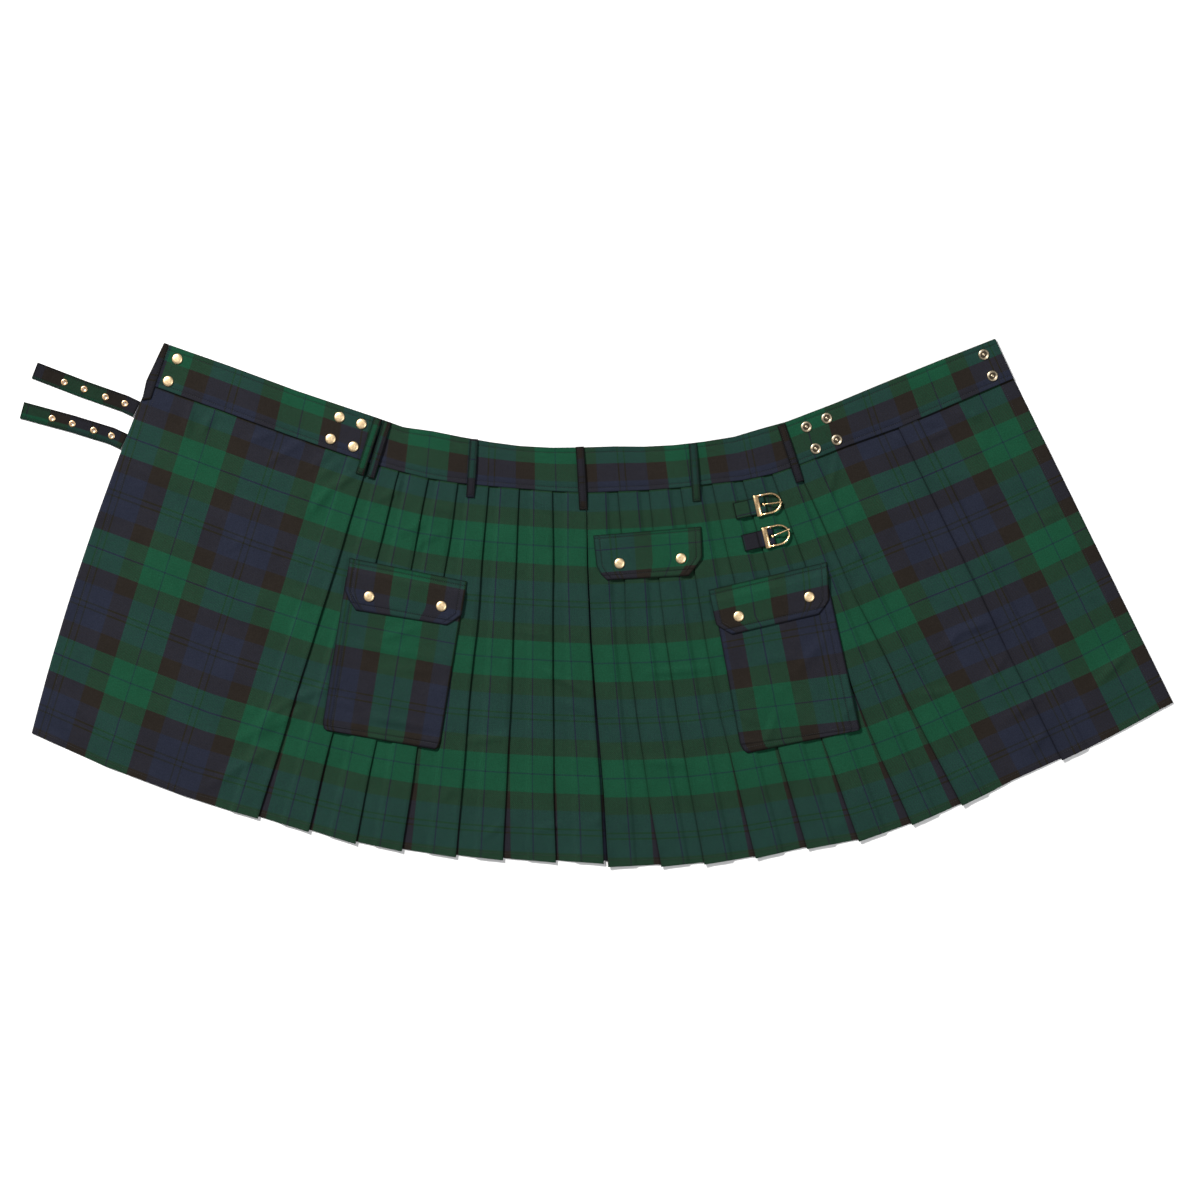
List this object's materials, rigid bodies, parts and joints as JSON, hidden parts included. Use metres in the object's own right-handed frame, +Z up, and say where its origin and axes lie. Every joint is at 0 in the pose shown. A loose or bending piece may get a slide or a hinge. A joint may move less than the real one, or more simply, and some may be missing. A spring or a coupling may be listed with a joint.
{
  "type": "utility kilt",
  "caption": "Tartan utility kilt opened out flat, face up: waistband with snaps and belt loops, plain front aprons, knife pleats at the back, cargo pockets and buckles with straps.",
  "frame": {"origin": "middle of the laid-out kilt, on the surface that it lies on", "axes": "+X to the right in the picture along the waistband, +Y from the hem to the waist, +Z up out of the cloth, towards its outer face"},
  "size_m": [1.69, 0.7706, 0.0108],
  "materials": {
    "tartan": "matte twill in a dark green, navy and black tartan",
    "dark_tartan": "matte twill, dark part of the tartan",
    "green_tartan": "matte twill, green part of the tartan",
    "pale_brass": "bright brushed pale brass",
    "antique_brass": "dark antique brass",
    "coppered_brass": "coppery brass"
  },
  "bodies": {
    "kilt": {"band_end_facing": "dark_tartan", "belt_loop_far_right": "dark_tartan", "belt_loop_left": "dark_tartan", "belt_loop_left_inner": "dark_tartan", "belt_loop_left_outer": "dark_tartan", "belt_loop_middle": "dark_tartan", "belt_loop_right": "dark_tartan", "buckle_frame_lower": "pale_brass", "buckle_frame_upper": "pale_brass", "buckle_tab_lower": "dark_tartan", "buckle_tab_upper": "green_tartan", "eyelet_lower_1": "coppered_brass", "eyelet_lower_2": "coppered_brass", "eyelet_lower_3": "coppered_brass", "eyelet_lower_4": "coppered_brass", "eyelet_upper_1": "coppered_brass", "eyelet_upper_2": "coppered_brass", "eyelet_upper_3": "coppered_brass", "eyelet_upper_4": "coppered_brass", "pocket_flap_back": "tartan", "pocket_flap_left": "tartan", "pocket_flap_right": "tartan", "pocket_left": "tartan", "pocket_right": "tartan", "skirt_left": "tartan", "skirt_right": "tartan", "snap_cap_back_a": "pale_brass", "snap_cap_back_b": "pale_brass", "snap_cap_end_low": "pale_brass", "snap_cap_end_top": "pale_brass", "snap_cap_inner_low": "pale_brass", "snap_cap_inner_top": "pale_brass", "snap_cap_outer_low": "pale_brass", "snap_cap_outer_top": "pale_brass", "snap_cap_pocket_left_a": "pale_brass", "snap_cap_pocket_left_b": "pale_brass", "snap_cap_pocket_right_a": "pale_brass", "snap_cap_pocket_right_b": "pale_brass", "snap_stud_end_low": "antique_brass", "snap_stud_end_top": "antique_brass", "snap_stud_inner_low": "antique_brass", "snap_stud_inner_top": "antique_brass", "snap_stud_outer_low": "antique_brass", "snap_stud_outer_top": "antique_brass", "strap_lower": "dark_tartan", "strap_upper": "dark_tartan", "waistband": "tartan"},
    "prong_upper": {"prong_upper": "pale_brass"},
    "prong_lower": {"prong_lower": "pale_brass"}
  },
  "joints": [
    {"name": "prong_upper_hinge", "type": "hinge", "parent": "kilt", "child": "prong_upper", "pos_m": [0.24497, 0.14252, 0.0065], "axis": [0.225, -0.9744, 0], "range_deg": [0, 130]},
    {"name": "prong_lower_hinge", "type": "hinge", "parent": "kilt", "child": "prong_lower", "pos_m": [0.25754, 0.09603, 0.0065], "axis": [0.2334, -0.9724, 0], "range_deg": [0, 130]}
  ]
}
